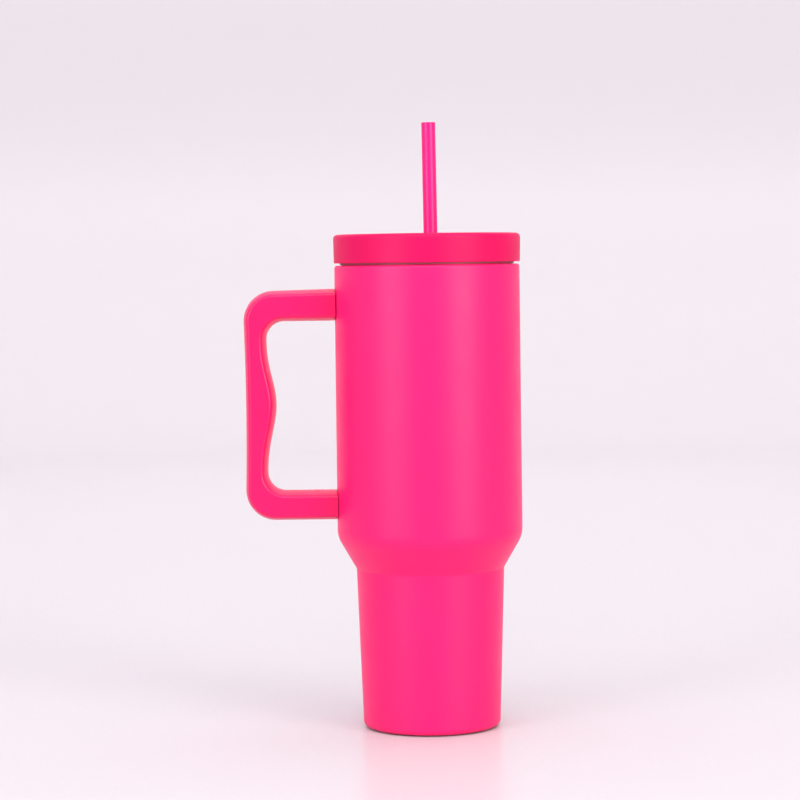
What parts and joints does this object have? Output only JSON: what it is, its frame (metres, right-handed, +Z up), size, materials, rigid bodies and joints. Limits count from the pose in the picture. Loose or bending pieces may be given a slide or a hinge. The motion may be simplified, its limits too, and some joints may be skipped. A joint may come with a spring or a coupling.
{
  "type": "insulated tumbler with lid",
  "caption": "Tall double-walled steel tumbler with a narrow cup-holder base, a side handle, a press-in lid with a rotating cover, and a straight straw.",
  "frame": {"origin": "centre of the base pad's underside, where the tumbler stands", "axes": "+Z up along the cup's axis, -X towards the handle, -Y towards the side the straw stands on"},
  "size_m": [0.1485, 0.1, 0.3232],
  "materials": {
    "shell_coat": "satin powder coat with a fine texture",
    "handle_plastic": "satin moulded plastic",
    "lid_plastic": "satin moulded plastic",
    "straw_plastic": "smooth, half gloss",
    "silicone": "matt silicone",
    "bare_steel": "fine circumferential brushing",
    "foil": "bright foil",
    "getter": "sintered metal"
  },
  "bodies": {
    "vessel": {"outer_shell": "shell_coat", "inner_vessel": "bare_steel", "radiation_foil": "foil", "shell_bottom": "bare_steel", "getter_cup": "bare_steel", "getter_tablet": "getter", "base_pad": "silicone", "handle": "handle_plastic", "upper_bracket": "bare_steel", "lower_bracket": "bare_steel", "upper_handle_screw": "bare_steel", "lower_handle_screw": "bare_steel", "upper_screw_cap": "handle_plastic", "lower_screw_cap": "handle_plastic"},
    "gasket": {"lid_gasket": "silicone"},
    "lid": {"lid_shell": "lid_plastic", "lid_plug": "lid_plastic", "straw_grommet": "silicone", "cover_pivot": "lid_plastic", "pivot_washer": "bare_steel", "pivot_clip": "bare_steel"},
    "cover": {"rotating_cover": "lid_plastic", "sip_seal": "silicone"},
    "straw": {"straw": "straw_plastic"}
  },
  "joints": [
    {"name": "lid_lift", "type": "slide", "parent": "vessel", "child": "gasket", "axis": [0, 0, 1], "range_m": [0, 0.26]},
    {"name": "lid_turn", "type": "hinge", "parent": "gasket", "child": "lid", "pos_m": [0, 0, 0.2447], "axis": [0, 0, 1], "continuous": true},
    {"name": "cover_turn", "type": "hinge", "parent": "lid", "child": "cover", "pos_m": [0, 0, 0.26], "axis": [0, 0, 1], "range_deg": [0, 60]},
    {"name": "straw_slide", "type": "slide", "parent": "lid", "child": "straw", "axis": [-0.0091, 0, 1], "range_m": [0, 0.22]}
  ]
}
